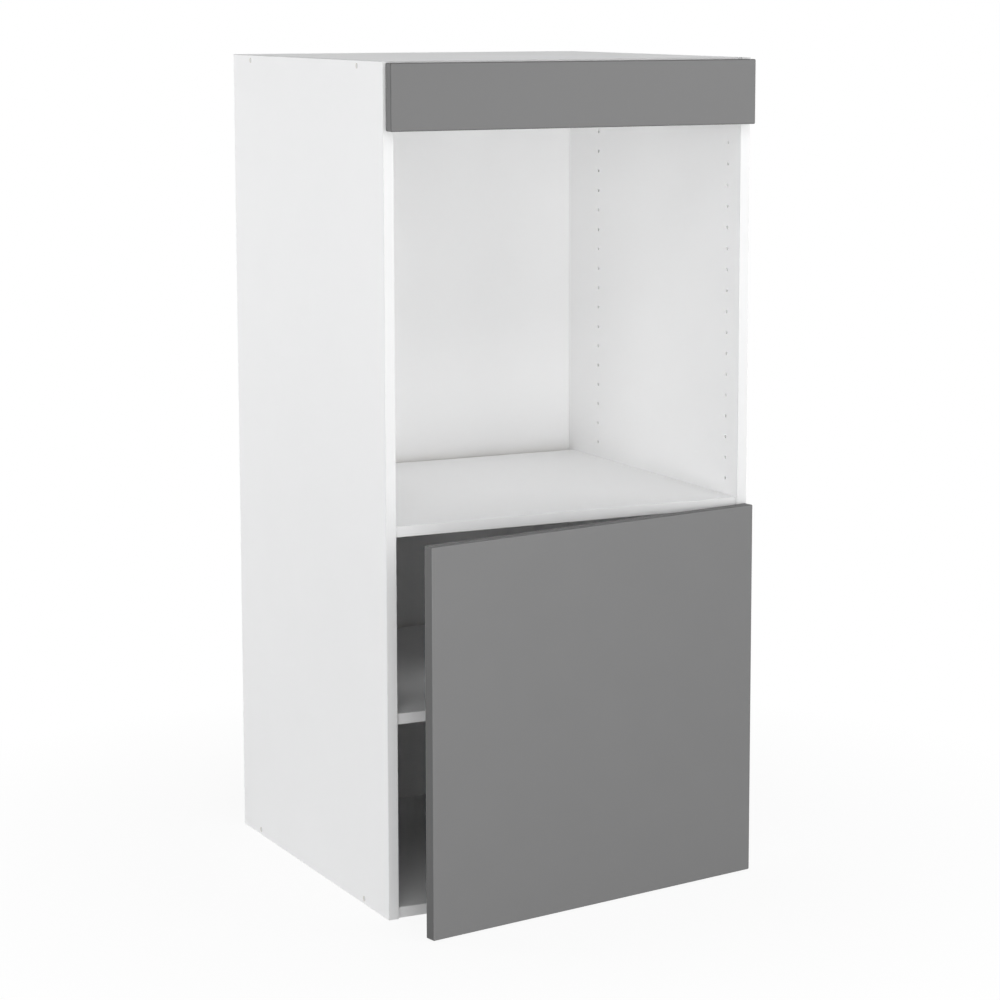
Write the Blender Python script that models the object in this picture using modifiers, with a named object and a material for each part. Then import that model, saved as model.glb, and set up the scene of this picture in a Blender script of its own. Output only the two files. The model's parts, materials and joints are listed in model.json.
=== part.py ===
"""Oven housing unit: a tall kitchen carcass with an oven niche, a filler fascia and one hinged door.

The origin is the centre of the carcass's underside. X runs to the right, +Y to the wall behind the
unit and +Z up, so the front faces -Y. The door stands ajar. Every length is in metres.
"""
import math

import bmesh
import bpy
from mathutils import Matrix, Vector
from mathutils.geometry import convex_hull_2d

# Carcass boards
carcass_width = 0.600
carcass_depth = 0.580
carcass_height = 1.248
board = 0.016                     # thickness of the melamine boards
edge_round = 0.0008               # radius on the edging
panel_setback = 0.005             # the level boards stop this far behind the sides' front edges
seat_gap = 0.0003                 # between a piece and what carries or holds it

# Rows of holes for shelf pins and hinge plates, counted upwards from the underside
pitch = 0.032
row_inset = 0.037                 # front row behind the sides' front edges
rear_row_room = 0.100             # the rear row keeps at least this far from the sides' rear edges
first_row = 2
pin_hole_radius = 0.0025
pin_hole_depth = 0.012
row_edge_room = 0.010             # a hole's centre keeps this far from the face of a fixed board

# Back panel in its grooves
back_thickness = 0.003
back_void = 0.020                 # service gap behind the back panel
groove_depth = 0.007

# Fixed shelf that carries the oven, and the loose shelf below it
oven_shelf_underside = 0.567
vent_gap = 0.0145                 # between the oven shelf and the back panel
shelf_row = 9                     # row whose pins carry the loose shelf
shelf_side_gap = 0.001
shelf_back_gap = 0.007
pin_radius = 0.0022
pin_stub_radius = 0.0025
pin_stub_length = 0.008
pin_end_room = 0.003              # left free at the bottom of the pin's hole

# Door and fascia
front_thickness = 0.019
front_gap = 0.002                 # between the carcass and the back of the door and fascia
side_reveal = 0.003               # fronts stop this far inside the carcass's width
end_reveal = 0.002                # and this far inside its height
door_side_shift = 0.001           # towards the hinges, set with their adjusting screws
door_lap = 0.007                  # the door covers this much of the oven shelf's edge
fascia_height = 0.096
front_round = 0.002

# Fascia brackets
bracket_thickness = 0.002
bracket_leg = 0.030
bracket_height = 0.040
bracket_centre_drop = 0.042       # bracket's centre below the underside of the top panel
bracket_screw_inset = 0.020       # along each leg from the bend
small_screw_radius = 0.0017
small_screw_length = 0.014
small_screw_head_radius = 0.0032
small_screw_head = 0.0016

# Screws and cams that hold the boards together
frame_screw_inset = 0.091         # front screw behind the sides' front edges
frame_screw_length = 0.050
frame_screw_radius = 0.0024
frame_screw_head_radius = 0.0034
frame_screw_head = 0.008
frame_screw_sink = 0.0004
socket_radius = 0.0022
socket_depth = 0.003
cam_radius = 0.0072
cam_thickness = 0.0125
cam_centre = 0.024                # cam's centre from the end of the shelf
cam_inset = 0.070
cam_slot_width = 0.0015
cam_slot_depth = 0.003
cam_bolt_radius = 0.003
cam_bolt_thread_radius = 0.0022
cam_bolt_thread = 0.011

# Door hinges
hinge_lower_row = 2               # its plate is screwed to this row and the next one up
hinge_end_room = 0.060            # the top plate screw stays this far below the door's top edge
arm_pin_inset = 0.020             # arm's pin from the face of the side panel
arm_pin_forward = 0.001           # and in front of the carcass
cup_pin_inset = 0.010             # cup's pin from the door's edge
cup_pin_depth = 0.0052            # and below the door's inner face
cup_radius = 0.0175
cup_edge = 0.005                  # wood left between the cup's bore and the door's edge
cup_depth = 0.0122
cup_wall = 0.0008
flange_overhang = 0.0012
flange_thickness = 0.0006
ear_offset = 0.0095
ear_spacing = 0.045
ear_radius = 0.0052
cup_screw_head = 0.0006
hinge_pin_radius = 0.0011
pin_play = 0.0002
eye_radius = 0.0021
link_thickness = 0.002
link_half_width = 0.0045
link_floor_room = 0.0022
arm_nose_radius = 0.0036
arm_sheet = 0.0012
arm_half_width = 0.0064
arm_length = 0.065
arm_depth = 0.0126
arm_neck = 0.002                  # the slim nose reaches this far behind the pin
arm_flare = 0.007
plate_thickness = 0.002
plate_half_length = 0.022
plate_half_width = 0.009
rail_half_width = 0.0044
rail_rise = 0.0198
rail_ahead = 0.017
rail_behind = 0.023
plate_screw_radius = 0.0022
plate_screw_reach = 0.011
plate_screw_head_radius = 0.0038
plate_screw_head = 0.0018
arm_screw_radius = 0.0017
arm_screw_head_radius = 0.0028
arm_screw_head = 0.0012
arm_screw_reach = 0.004
arm_screw_places = (-0.008, 0.013)   # along the arm from the plate's screws
cross_width = 0.0009
cross_depth = 0.0008

# Door buffers
buffer_radius = 0.004
buffer_edge_room = 0.0035         # between the buffer and the door's side edge
buffer_inset = 0.030

# The link's bends, as shares of the run from the arm's pin to the cup's pin and of the drop to the
# cup's floor
link_bend_shares = ((0.152, 0.60), (0.37, 1.0), (0.848, 1.0))

# Joint values at rest: the door stands ajar, and the link turns back as the door opens
door_ajar = math.radians(10.0)
link_turn_share = -0.28

# Facets
hole_sides = 8
screw_sides = 12
round_sides = 24
cup_sides = 48
hexagon = 6
smooth_below = math.radians(30)   # faces that meet at less than this are shaded as one
overrun = 0.002                   # a cutter passes the face that it opens by this much
weld_reach = 0.00001

left = -carcass_width / 2
right = carcass_width / 2
front = -carcass_depth / 2
back = carcass_depth / 2
inner_left = left + board
inner_right = right - board
back_panel_front = back - back_void - back_thickness
oven_shelf_top = oven_shelf_underside + board
front_row = front + row_inset
rows_apart = int((carcass_depth - row_inset - rear_row_room) / pitch)   # in pitches
rear_row = front_row + rows_apart * pitch
shelf_underside = shelf_row * pitch + pin_stub_radius + seat_gap
fronts_back = front - front_gap
fronts_front = fronts_back - front_thickness
door_bottom = end_reveal
door_top = oven_shelf_underside + door_lap
fascia_top = carcass_height - end_reveal
fascia_bottom = fascia_top - fascia_height
bracket_centre = carcass_height - board - bracket_centre_drop
frame_screw_places = (front + frame_screw_inset, front + frame_screw_inset + rows_apart * pitch)
cam_places = (front + cam_inset, front + cam_inset + rows_apart * pitch)
screwed_heights = (board / 2, carcass_height - board / 2)
cam_height = oven_shelf_underside + board / 2
sides = (("left", inner_left, 1), ("right", inner_right, -1))   # each side's inner face and the way in

hinge_upper_row = int((door_top - hinge_end_room) / pitch) - 1
hinge_heights = {"lower": hinge_lower_row * pitch + pitch / 2, "upper": hinge_upper_row * pitch + pitch / 2}
door_free_edge = left + side_reveal + door_side_shift
door_edge = right - side_reveal + door_side_shift
arm_pin = Vector((inner_right - arm_pin_inset + door_side_shift, front - arm_pin_forward, 0))
cup_pin = Vector((door_edge - cup_pin_inset, fronts_back - cup_pin_depth, 0))
cup_centre = door_edge - cup_edge - cup_radius

for old in list(bpy.data.objects):
    bpy.data.objects.remove(old, do_unlink=True)

parts = bpy.data.collections.new("oven_housing_unit")
cutters = bpy.data.collections.new("cutters")
for collection in (parts, cutters):
    bpy.context.scene.collection.children.link(collection)


def finish(name, colour, roughness, metallic=0.0):
    """A plain material with a colour, a roughness and a metallic value."""
    material = bpy.data.materials.new(name)
    material.use_nodes = True
    shader = material.node_tree.nodes["Principled BSDF"]
    shader.inputs["Base Color"].default_value = (*colour, 1)
    shader.inputs["Roughness"].default_value = roughness
    shader.inputs["Metallic"].default_value = metallic
    material.diffuse_color = (*colour, 1)
    return material


white_melamine = finish("white_melamine", (0.84, 0.84, 0.84), 0.45)
white_hardboard = finish("white_hardboard", (0.80, 0.80, 0.79), 0.50)
grey_lacquer = finish("grey_lacquer", (0.22, 0.22, 0.22), 0.55)
zinc_steel = finish("zinc_steel", (0.62, 0.63, 0.64), 0.32, 1.0)
nickel_steel = finish("nickel_steel", (0.68, 0.67, 0.65), 0.24, 1.0)
clear_rubber = finish("clear_rubber", (0.70, 0.70, 0.70), 0.40)


def carrier(name, place, parent=None):
    """An empty on a joint's axis, which carries the pieces that turn with it."""
    empty = bpy.data.objects.new(name, None)
    parts.objects.link(empty)
    empty["home"] = place
    empty.location = place - (Vector(parent["home"]) if parent else Vector())
    empty.parent = parent
    return empty


link_axis = carrier("hinge_link_axis", arm_pin)
door_axis = carrier("door_axis", cup_pin, link_axis)


def settle(obj, place, material, collection, on):
    """Put an object at a place of the closed unit, on the axis that carries it if it has one."""
    collection.objects.link(obj)
    if on:
        obj.parent = on
        obj.location = place - Vector(on["home"])
    else:
        obj.location = place
    if collection == cutters:
        obj.hide_render = True
        obj.display_type = "WIRE"
    else:
        obj.data.materials.clear()
        obj.data.materials.append(material)
    return obj


def from_bmesh(name, bm, place=Vector(), material=None, collection=parts, on=None):
    """Make an object of a bmesh whose round sides are shaded smooth."""
    mesh = bpy.data.meshes.new(name)
    bm.to_mesh(mesh)
    bm.free()
    mesh.shade_smooth()
    mesh.set_sharp_from_angle(angle=smooth_below)
    return settle(bpy.data.objects.new(name, mesh), place, material, collection, on)


def box(name, low, high, material=None, collection=parts, on=None, rounding=0):
    """A box between two corners of the closed unit."""
    low, high = Vector(low), Vector(high)
    bm = bmesh.new()
    bmesh.ops.create_cube(bm, size=1)
    bmesh.ops.scale(bm, vec=high - low, verts=bm.verts)
    obj = from_bmesh(name, bm, (low + high) / 2, material, collection, on)
    if rounding:
        bevel = obj.modifiers.new("rounded_edges", "BEVEL")
        bevel.width = rounding
        bevel.segments = 2
    return obj


def add_rod(bm, start, end, radius, sides=round_sides):
    """Add a round rod between two points."""
    start, end = Vector(start), Vector(end)
    run = end - start
    turn = Vector((0, 0, 1)).rotation_difference(run).to_matrix().to_4x4()
    place = Matrix.Translation((start + end) / 2) @ turn
    bmesh.ops.create_cone(
        bm, cap_ends=True, segments=sides, radius1=radius, radius2=radius, depth=run.length, matrix=place)


def rods(name, runs, material=None, collection=parts, on=None, sides=round_sides):
    """One object of separate rods, each given as start, end and radius in the closed unit."""
    home = Vector(on["home"]) if on else Vector()
    bm = bmesh.new()
    for start, end, radius in runs:
        add_rod(bm, Vector(start) - home, Vector(end) - home, radius, sides)
    return from_bmesh(name, bm, home, material, collection, on)


def cut(obj, cutter, operation="DIFFERENCE"):
    """Cut one object from another, or join it on."""
    boolean = obj.modifiers.new(cutter.name, "BOOLEAN")
    boolean.operation = operation
    boolean.solver = "EXACT"
    boolean.object = cutter


def plain_mesh(obj):
    """Read an object's evaluated mesh with its seams welded, and remove the object."""
    bpy.context.view_layer.update()
    evaluated = obj.evaluated_get(bpy.context.evaluated_depsgraph_get())
    mesh = bpy.data.meshes.new_from_object(evaluated)
    bm = bmesh.new()
    bm.from_mesh(mesh)
    bmesh.ops.remove_doubles(bm, verts=bm.verts, dist=weld_reach)
    bmesh.ops.recalc_face_normals(bm, faces=bm.faces)
    bm.to_mesh(mesh)
    bm.free()
    bpy.data.objects.remove(obj, do_unlink=True)
    return mesh


def flat_piece(name, outline, low, high, material=None, collection=parts, on=None, upright=False):
    """An outline in X and Y with a thickness along Z, or in X and Z with one along Y if upright."""
    curve = bpy.data.curves.new(name, "CURVE")
    curve.dimensions = "2D"
    curve.fill_mode = "BOTH"
    curve.extrude = (high - low) / 2
    spline = curve.splines.new("POLY")
    spline.points.add(len(outline) - 1)
    for point, (along, across) in zip(spline.points, outline):
        point.co = (along, across, 0, 1)
    spline.use_cyclic_u = True
    drawn = bpy.data.objects.new(name, curve)
    bpy.context.scene.collection.objects.link(drawn)
    mesh = plain_mesh(drawn)
    middle = (low + high) / 2
    if upright:
        mesh.transform(Matrix.Translation((0, middle, 0)) @ Matrix.Rotation(math.pi / 2, 4, "X"))
    else:
        mesh.transform(Matrix.Translation((0, 0, middle)))
    home = Vector(on["home"]) if on else Vector()
    mesh.transform(Matrix.Translation(-home))
    mesh.name = name
    return settle(bpy.data.objects.new(name, mesh), home, material, collection, on)


def arc(centre, radius, start, end, steps):
    """Points of an arc from one angle to another, in degrees."""
    turns = (math.radians(start + (end - start) * step / steps) for step in range(steps + 1))
    return [(centre[0] + radius * math.cos(turn), centre[1] + radius * math.sin(turn)) for turn in turns]


def turned_mesh(name, profile, recess=None, sides=round_sides):
    """A turned piece along Z: its profile of radius and height runs down the outer side."""
    mesh = bpy.data.meshes.new(name)
    points = [(radius, 0, height) for radius, height in profile]
    mesh.from_pydata(points, [(place, place + 1) for place in range(len(points) - 1)], [])
    obj = bpy.data.objects.new(name, mesh)
    bpy.context.scene.collection.objects.link(obj)
    screw = obj.modifiers.new("turned", "SCREW")
    screw.steps = sides
    screw.render_steps = sides
    screw.use_merge_vertices = True
    screw.merge_threshold = weld_reach
    for cutter in recess or ():
        cut(obj, cutter)
    return plain_mesh(obj)


def place_piece(name, mesh, point, direction, material, on=None):
    """Place one turned piece, which may share its mesh, at a point with its top towards a direction."""
    piece = settle(bpy.data.objects.new(name, mesh), Vector(point), material, parts, on)
    piece.rotation_euler = Vector((0, 0, 1)).rotation_difference(Vector(direction)).to_euler()


def cross_recess(name, reach):
    """Two crossed slots that open a screw's head at height zero."""
    for turned, size in enumerate(((reach, cross_width), (cross_width, reach))):
        half_x, half_y = size[0] / 2, size[1] / 2
        slot = (f"{name}_slot_{turned}", (-half_x, -half_y, -cross_depth), (half_x, half_y, overrun))
        yield box(*slot, collection=cutters)


def headed_profile(head_radius, head, radius, length):
    """Profile of a screw whose head's top is at height zero."""
    return ((0, 0), (head_radius, 0), (head_radius, -head), (radius, -head), (radius, -length), (0, -length))


# Holes that the side panels, the level boards and the fronts share
def row_heights():
    """Heights of the holes, without those that a fixed board would cover."""
    top_row = int((carcass_height - board - row_edge_room) / pitch)
    for row in range(first_row, top_row + 1):
        height = row * pitch
        shelf_low = oven_shelf_underside - row_edge_room
        if not shelf_low < height < oven_shelf_top + row_edge_room:
            yield height


def side_holes(outer, inner):
    """Cutters for one side panel, whose faces are at outer and inner."""
    way = math.copysign(1, outer - inner)
    open_end = inner - way * overrun
    holes = []
    for height in row_heights():
        for row in (front_row, rear_row):
            floor = (inner + way * pin_hole_depth, row, height)
            holes.append(((open_end, row, height), floor, pin_hole_radius))
    for place in cam_places:
        depth = cam_bolt_thread + seat_gap
        reach = cam_bolt_thread_radius + seat_gap
        holes.append(((open_end, place, cam_height), (inner + way * depth, place, cam_height), reach))
    place = fronts_back + bracket_screw_inset
    bottom = inner + way * small_screw_length
    reach = small_screw_radius + seat_gap
    holes.append(((open_end, place, bracket_centre), (bottom, place, bracket_centre), reach))
    for height in screwed_heights:
        for place in frame_screw_places:
            reach = frame_screw_head_radius + seat_gap
            holes.append(((open_end, place, height), (outer + way * overrun, place, height), reach))
    return holes


# Side panels, with rows of holes on the inside and a groove for the back panel
def side_panel(name, outer, inner):
    low_x, high_x = min(outer, inner), max(outer, inner)
    panel = box(name, (low_x, front, 0), (high_x, back, carcass_height), white_melamine, rounding=edge_round)
    cut(panel, rods(f"{name}_holes", side_holes(outer, inner), collection=cutters, sides=hole_sides))
    way = math.copysign(1, outer - inner)
    depths = sorted((inner - way * overrun, inner + way * groove_depth))
    low = (depths[0], back_panel_front - seat_gap, -overrun)
    high = (depths[1], back_panel_front + back_thickness + seat_gap, carcass_height + overrun)
    cut(panel, box(f"{name}_groove", low, high, collection=cutters))


side_panel("left_side_panel", left, inner_left)
side_panel("right_side_panel", right, inner_right)


# Top and bottom panels: between the sides, screwed at both ends, grooved for the back panel
def end_board(name, low_z, groove_low, groove_high):
    low = (inner_left + seat_gap, front + panel_setback, low_z)
    high = (inner_right - seat_gap, back, low_z + board)
    panel = box(name, low, high, white_melamine, rounding=edge_round)
    middle = low_z + board / 2
    depth = frame_screw_length + frame_screw_sink - board + seat_gap
    holes = []
    for _, inner, way in sides:
        for place in frame_screw_places:
            start, end = (inner - way * overrun, place, middle), (inner + way * depth, place, middle)
            holes.append((start, end, frame_screw_radius + seat_gap))
    cut(panel, rods(f"{name}_holes", holes, collection=cutters, sides=hole_sides))
    groove_back = back_panel_front + back_thickness + seat_gap
    groove = (left, back_panel_front - seat_gap, groove_low), (right, groove_back, groove_high)
    cut(panel, box(f"{name}_groove", *groove, collection=cutters))


end_board("bottom_panel", 0, board - groove_depth, board + overrun)
end_board("top_panel", carcass_height - board, carcass_height - board - overrun,
          carcass_height - board + groove_depth)


# Oven shelf: fixed with cams in its underside, open behind for air
def oven_shelf():
    low = (inner_left + seat_gap, front + panel_setback, oven_shelf_underside)
    high = (inner_right - seat_gap, back_panel_front - vent_gap, oven_shelf_top)
    shelf = box("oven_shelf", low, high, white_melamine, rounding=edge_round)
    bolt_holes = []
    cam_bores = []
    for _, inner, way in sides:
        centre = inner + way * cam_centre
        for place in cam_places:
            start, end = (inner - way * overrun, place, cam_height), (centre, place, cam_height)
            bolt_holes.append((start, end, cam_bolt_radius + seat_gap))
            start = (centre, place, oven_shelf_underside - overrun)
            end = (centre, place, oven_shelf_underside + cam_thickness + seat_gap)
            cam_bores.append((start, end, cam_radius + seat_gap))
    cut(shelf, rods("oven_shelf_bolt_holes", bolt_holes, collection=cutters, sides=hole_sides))
    cut(shelf, rods("oven_shelf_cam_bores", cam_bores, collection=cutters))


oven_shelf()


# Loose shelf on four pins
def lower_shelf():
    low = (inner_left + shelf_side_gap, front + panel_setback, shelf_underside)
    high = (inner_right - shelf_side_gap, back_panel_front - shelf_back_gap, shelf_underside + board)
    box("lower_shelf", low, high, white_melamine, rounding=edge_round)


def shelf_pins():
    in_hole = pin_hole_depth - pin_end_room
    profile = ((0, pin_stub_length), (pin_stub_radius, pin_stub_length), (pin_stub_radius, seat_gap),
               (pin_radius, seat_gap), (pin_radius, -in_hole), (0, -in_hole))
    pin = turned_mesh("shelf_pin", profile, sides=screw_sides)
    for end, row in (("front", front_row), ("rear", rear_row)):
        for side, inner, way in sides:
            spot = (inner, row, shelf_row * pitch)
            place_piece(f"shelf_pin_{side}_{end}", pin, spot, (way, 0, 0), nickel_steel)


lower_shelf()
shelf_pins()


# Back panel: thin hardboard that slides in the grooves
def back_panel():
    tuck = groove_depth - seat_gap
    low = (inner_left - tuck, back_panel_front, board - tuck)
    high = (inner_right + tuck, back_panel_front + back_thickness, carcass_height - board + tuck)
    box("back_panel", low, high, white_hardboard)


back_panel()


# Long screws through the sides into the top and bottom panels
def frame_screws():
    socket = rods("frame_screw_socket", [((0, 0, -socket_depth), (0, 0, overrun), socket_radius)],
                  collection=cutters, sides=hexagon)
    profile = headed_profile(
        frame_screw_head_radius, frame_screw_head, frame_screw_radius, frame_screw_length)
    screw = turned_mesh("frame_screw", profile, [socket], sides=screw_sides)
    for side, inner, way in sides:
        sunk = inner - way * (board - frame_screw_sink)
        for level, height in zip(("bottom", "top"), screwed_heights):
            for end, place in zip(("front", "rear"), frame_screw_places):
                name = f"carcass_screw_{side}_{level}_{end}"
                place_piece(name, screw, (sunk, place, height), (-way, 0, 0), zinc_steel)


frame_screws()


# Cams and their bolts, which hold the oven shelf
def shelf_cams():
    slot_half = cam_slot_width / 2
    slot = box("cam_slot", (-cam_radius, -slot_half, -cam_slot_depth), (cam_radius, slot_half, overrun),
               collection=cutters)
    disc = ((0, 0), (cam_radius, 0), (cam_radius, -cam_thickness), (0, -cam_thickness))
    cam = turned_mesh("cam", disc, [slot])
    bolt_end = cam_centre - cam_radius - seat_gap
    bolt_profile = ((0, bolt_end), (cam_bolt_radius, bolt_end), (cam_bolt_radius, seat_gap),
                    (cam_bolt_thread_radius, seat_gap), (cam_bolt_thread_radius, -cam_bolt_thread),
                    (0, -cam_bolt_thread))
    bolt = turned_mesh("cam_bolt", bolt_profile, sides=screw_sides)
    for side, inner, way in sides:
        for end, place in zip(("front", "rear"), cam_places):
            cam_spot = (inner + way * cam_centre, place, oven_shelf_underside)
            bolt_spot = (inner, place, cam_height)
            place_piece(f"shelf_cam_{side}_{end}", cam, cam_spot, (0, 0, -1), zinc_steel)
            place_piece(f"shelf_cam_bolt_{side}_{end}", bolt, bolt_spot, (way, 0, 0), zinc_steel)


shelf_cams()


# Fascia above the oven, on two angle brackets
def small_screw_mesh():
    """The screw of the brackets and hinge cups, with its head's top at height zero."""
    reach = small_screw_head_radius
    profile = headed_profile(small_screw_head_radius, small_screw_head, small_screw_radius,
                             small_screw_head + small_screw_length)
    return turned_mesh("small_screw", profile, list(cross_recess("small_screw", reach)), sides=screw_sides)


def fascia():
    low = (left + side_reveal, fronts_front, fascia_bottom)
    high = (right - side_reveal, fronts_back, fascia_top)
    panel = box("top_fascia", low, high, grey_lacquer, rounding=front_round)
    holes = []
    for _, inner, way in sides:
        place = inner + way * bracket_screw_inset
        start = (place, fronts_back + overrun, bracket_centre)
        end = (place, fronts_back - small_screw_length, bracket_centre)
        holes.append((start, end, small_screw_radius + seat_gap))
    cut(panel, rods("fascia_holes", holes, collection=cutters, sides=hole_sides))


def fascia_bracket(side, inner, way):
    name = f"fascia_bracket_{side}"
    outer_x, outer_y = inner + way * seat_gap, fronts_back + seat_gap
    inner_x, inner_y = outer_x + way * bracket_thickness, outer_y + bracket_thickness
    tip_x, tip_y = outer_x + way * bracket_leg, outer_y + bracket_leg
    outline = [(outer_x, outer_y), (tip_x, outer_y), (tip_x, inner_y), (inner_x, inner_y),
               (inner_x, tip_y), (outer_x, tip_y)]
    low = bracket_centre - bracket_height / 2
    bracket = flat_piece(name, outline, low, low + bracket_height, zinc_steel)
    along_y = fronts_back + bracket_screw_inset
    along_x = inner + way * bracket_screw_inset
    reach = small_screw_radius + seat_gap
    side_hole = (inner, along_y, bracket_centre), (inner_x + way * overrun, along_y, bracket_centre), reach
    front_hole = (along_x, fronts_back, bracket_centre), (along_x, inner_y + overrun, bracket_centre), reach
    cut(bracket, rods(f"{name}_holes", [side_hole, front_hole], collection=cutters, sides=hole_sides))


def fascia_screws(side, inner, way):
    rise = seat_gap + bracket_thickness + seat_gap + small_screw_head
    on_side = (inner + way * rise, fronts_back + bracket_screw_inset, bracket_centre)
    on_fascia = (inner + way * bracket_screw_inset, fronts_back + rise, bracket_centre)
    place_piece(f"bracket_screw_{side}_carcass", small_screw, on_side, (way, 0, 0), zinc_steel)
    place_piece(f"bracket_screw_{side}_fascia", small_screw, on_fascia, (0, 1, 0), zinc_steel)


small_screw = small_screw_mesh()
fascia()
for side_name, inner_face, way_in in sides:
    fascia_bracket(side_name, inner_face, way_in)
    fascia_screws(side_name, inner_face, way_in)


# Door: one plain panel, bored for its two hinge cups
def ear_places(height):
    """Places of the two screws that hold one hinge cup."""
    for side in (-1, 1):
        yield cup_centre - ear_offset, height + side * ear_spacing / 2


def door():
    low = (door_free_edge, fronts_front, door_bottom)
    high = (door_edge, fronts_back, door_top)
    panel = box("door_panel", low, high, grey_lacquer, on=door_axis, rounding=front_round)
    bores = []
    holes = []
    mouth = fronts_back + overrun
    for height in hinge_heights.values():
        floor = (cup_centre, fronts_back - cup_depth - seat_gap, height)
        bores.append(((cup_centre, mouth, height), floor, cup_radius + seat_gap))
        for ear_x, ear_z in ear_places(height):
            bottom = (ear_x, fronts_back - small_screw_length, ear_z)
            holes.append(((ear_x, mouth, ear_z), bottom, small_screw_radius + seat_gap))
    cut(panel, rods("door_cup_bores", bores, collection=cutters, on=door_axis, sides=cup_sides))
    cut(panel, rods("door_screw_holes", holes, collection=cutters, on=door_axis, sides=hole_sides))


def door_buffer(name, height):
    place = door_free_edge + buffer_edge_room + buffer_radius
    start, end = (place, fronts_back + seat_gap, height), (place, front - seat_gap, height)
    rods(name, [(start, end, buffer_radius)], clear_rubber, on=door_axis)


door()
door_buffer("door_buffer_lower", door_bottom + buffer_inset)
door_buffer("door_buffer_upper", door_top - buffer_inset)


# Hinges: each piece is drawn at height zero and placed at both heights, sharing its mesh
def on_both_hinges(name, piece, on=None):
    place = piece.location + (Vector(on["home"]) if on else Vector())
    material = piece.active_material
    mesh = plain_mesh(piece)
    for label, height in hinge_heights.items():
        copy = bpy.data.objects.new(f"{name}_{label}", mesh)
        settle(copy, place + Vector((0, 0, height)), material, parts, on)


# Hinge cup: a pressed shell in the door, with a flange that two screws hold and its pin riveted across
def hinge_cup():
    flange_low = fronts_back + seat_gap
    flange_high = flange_low + flange_thickness
    rim = arc((cup_centre, 0), cup_radius + flange_overhang, 0, 360, cup_sides)[:-1]
    for ear in ear_places(0):
        rim += arc(ear, ear_radius, 0, 360, round_sides)[:-1]
    hull = [rim[place] for place in convex_hull_2d(rim)]
    cup = flat_piece("hinge_cup", hull, flange_low, flange_high, nickel_steel, on=door_axis, upright=True)
    top = (cup_centre, flange_low + flange_thickness / 2, 0)
    floor = (cup_centre, fronts_back - cup_depth, 0)
    shell = [(top, floor, cup_radius)]
    cut(cup, rods("cup_shell", shell, collection=cutters, on=door_axis, sides=cup_sides), "UNION")
    mouth = (cup_centre, flange_high + overrun, 0)
    inside = (cup_centre, fronts_back - cup_depth + cup_wall, 0)
    hollow = [(mouth, inside, cup_radius - cup_wall)]
    cut(cup, rods("cup_hollow", hollow, collection=cutters, on=door_axis, sides=cup_sides))
    half_run = math.sqrt(cup_radius ** 2 - (cup_pin.x + hinge_pin_radius - cup_centre) ** 2)
    low, high = (cup_pin.x, cup_pin.y, -half_run), (cup_pin.x, cup_pin.y, half_run)
    pin = [(low, high, hinge_pin_radius)]
    cut(cup, rods("cup_pin", pin, collection=cutters, on=door_axis), "UNION")
    holes = []
    for ear_x, ear_z in ear_places(0):
        start, end = (ear_x, fronts_back, ear_z), (ear_x, flange_high + overrun, ear_z)
        holes.append((start, end, small_screw_radius + seat_gap))
    cut(cup, rods("cup_holes", holes, collection=cutters, on=door_axis, sides=hole_sides))
    return cup


def hinge_cup_screws():
    top = fronts_back + seat_gap + flange_thickness + seat_gap + cup_screw_head
    length = top - fronts_back + small_screw_length - seat_gap
    profile = headed_profile(small_screw_head_radius, cup_screw_head, small_screw_radius, length)
    screw = turned_mesh("cup_screw", profile, sides=screw_sides)
    for label, height in hinge_heights.items():
        for side, (ear_x, ear_z) in zip(("below", "above"), ear_places(height)):
            name = f"hinge_cup_screw_{label}_{side}"
            place_piece(name, screw, (ear_x, top, ear_z), (0, 1, 0), zinc_steel, on=door_axis)


# Hinge link: a cranked strap that turns on the arm's pin and carries the cup's pin
def strap_outline(path, half):
    """Outline of a strap of even width along a path, mitred at its bends."""
    near, far = [], []
    for place, point in enumerate(path):
        before = (point - path[place - 1]).normalized() if place else None
        after = (path[place + 1] - point).normalized() if place < len(path) - 1 else None
        along = ((before or after) + (after or before)).normalized()
        across = Vector((-along.y, along.x))
        miter = half / across.dot(Vector((-(after or before).y, (after or before).x)))
        near.append(point + across * miter)
        far.append(point - across * miter)
    return near + far[::-1]


def hinge_link():
    start, end = arm_pin.to_2d(), cup_pin.to_2d()
    floor = fronts_back - cup_depth + cup_wall + link_floor_room + link_thickness / 2
    path = [start]
    for run_share, drop_share in link_bend_shares:
        bend_x = start.x + (end.x - start.x) * run_share
        bend_y = start.y + (floor - start.y) * drop_share
        path.append(Vector((bend_x, bend_y)))
    path.append(end)
    outline = strap_outline(path, link_thickness / 2)
    link = flat_piece("hinge_link", outline, -link_half_width, link_half_width, nickel_steel, on=link_axis)
    for label, pin in (("arm", arm_pin), ("cup", cup_pin)):
        eye = [((pin.x, pin.y, -link_half_width), (pin.x, pin.y, link_half_width), eye_radius)]
        cut(link, rods(f"link_{label}_eye", eye, collection=cutters, on=link_axis), "UNION")
    holes = []
    reach = link_half_width + overrun
    for pin in (arm_pin, cup_pin):
        holes.append(((pin.x, pin.y, -reach), (pin.x, pin.y, reach), hinge_pin_radius + pin_play))
    cut(link, rods("link_pin_holes", holes, collection=cutters, on=link_axis))
    return link


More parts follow.
